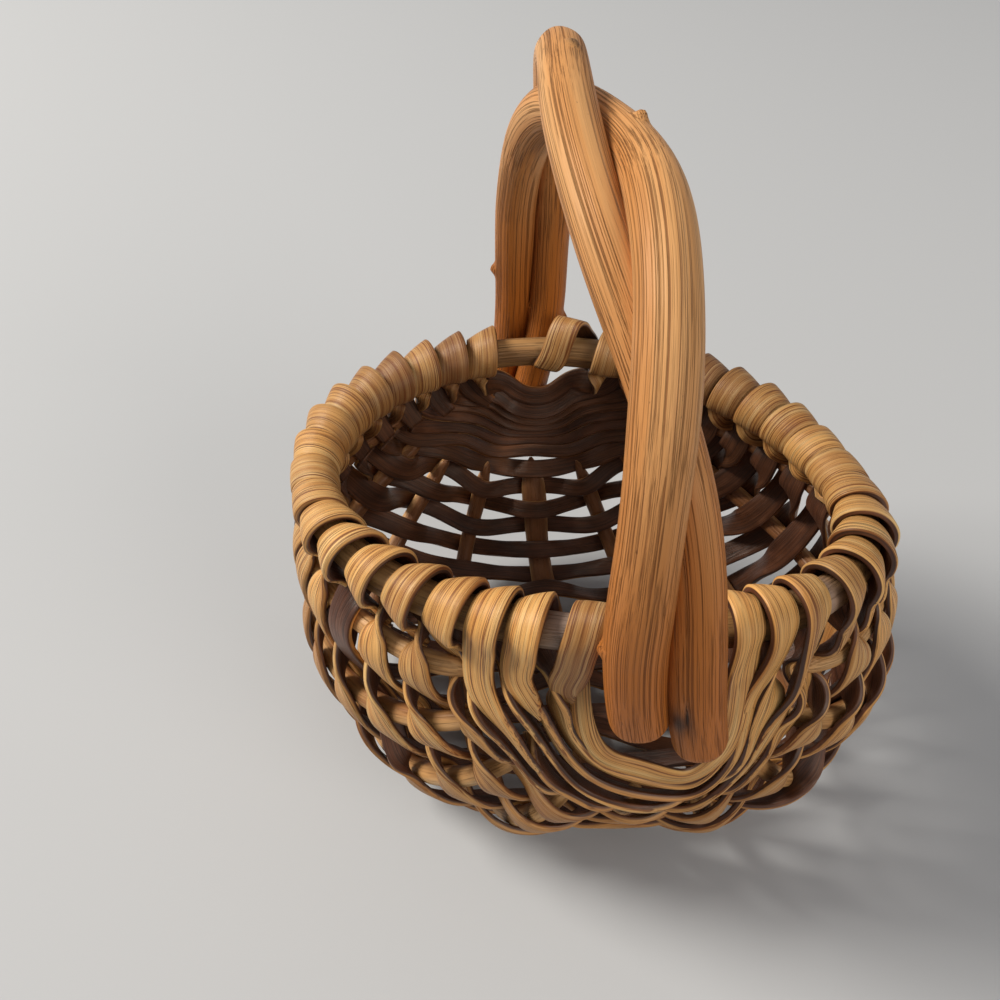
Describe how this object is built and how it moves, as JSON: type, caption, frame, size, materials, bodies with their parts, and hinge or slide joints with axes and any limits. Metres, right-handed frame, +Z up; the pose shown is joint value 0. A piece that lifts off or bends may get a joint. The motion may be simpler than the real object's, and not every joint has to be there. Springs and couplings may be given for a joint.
{
  "type": "small woven basket with twisted handle",
  "caption": "Small round ribbed basket of split vine, with a rim hoop, wrapped splints and a fixed handle of twisted peeled stems.",
  "frame": {"origin": "middle of the footprint's bounding box, on the table", "axes": "+Z up, -Y towards the front ear where the two cut stem ends show, +X to the right; the handle runs along Y"},
  "size_m": [0.0956, 0.092, 0.1158],
  "materials": {
    "peeled_stem": "peeled warm tan wood with fine lengthwise grooves",
    "hoop_wood": "bare pale wood, matt",
    "rib_wood": "bare pale wood with brown stains, matt",
    "split_vine": "split golden wood outside, dark purple-brown bark inside"
  },
  "bodies": {
    "root": {"rim_hoop": "hoop_wood", "keel_rib": "rib_wood", "rib_right_1": "rib_wood", "rib_left_1": "rib_wood", "rib_right_2": "rib_wood", "rib_left_2": "rib_wood", "rib_right_3": "rib_wood", "rib_left_3": "rib_wood", "rib_right_4": "rib_wood", "rib_left_4": "rib_wood", "weaver_01": "split_vine", "weaver_02": "split_vine", "weaver_03": "split_vine", "weaver_04": "split_vine", "weaver_05": "split_vine", "weaver_06": "split_vine", "weaver_07": "split_vine", "weaver_08": "split_vine", "weaver_09": "split_vine", "weaver_10": "split_vine", "weaver_11": "split_vine", "weaver_12": "split_vine", "weaver_13": "split_vine", "weaver_14": "split_vine", "weaver_15": "split_vine", "weaver_16": "split_vine", "weaver_17": "split_vine", "front_ear_tie": "split_vine", "back_ear_tie": "split_vine", "handle_stem_left": "peeled_stem", "handle_stem_right": "peeled_stem"}
  },
  "joints": []
}
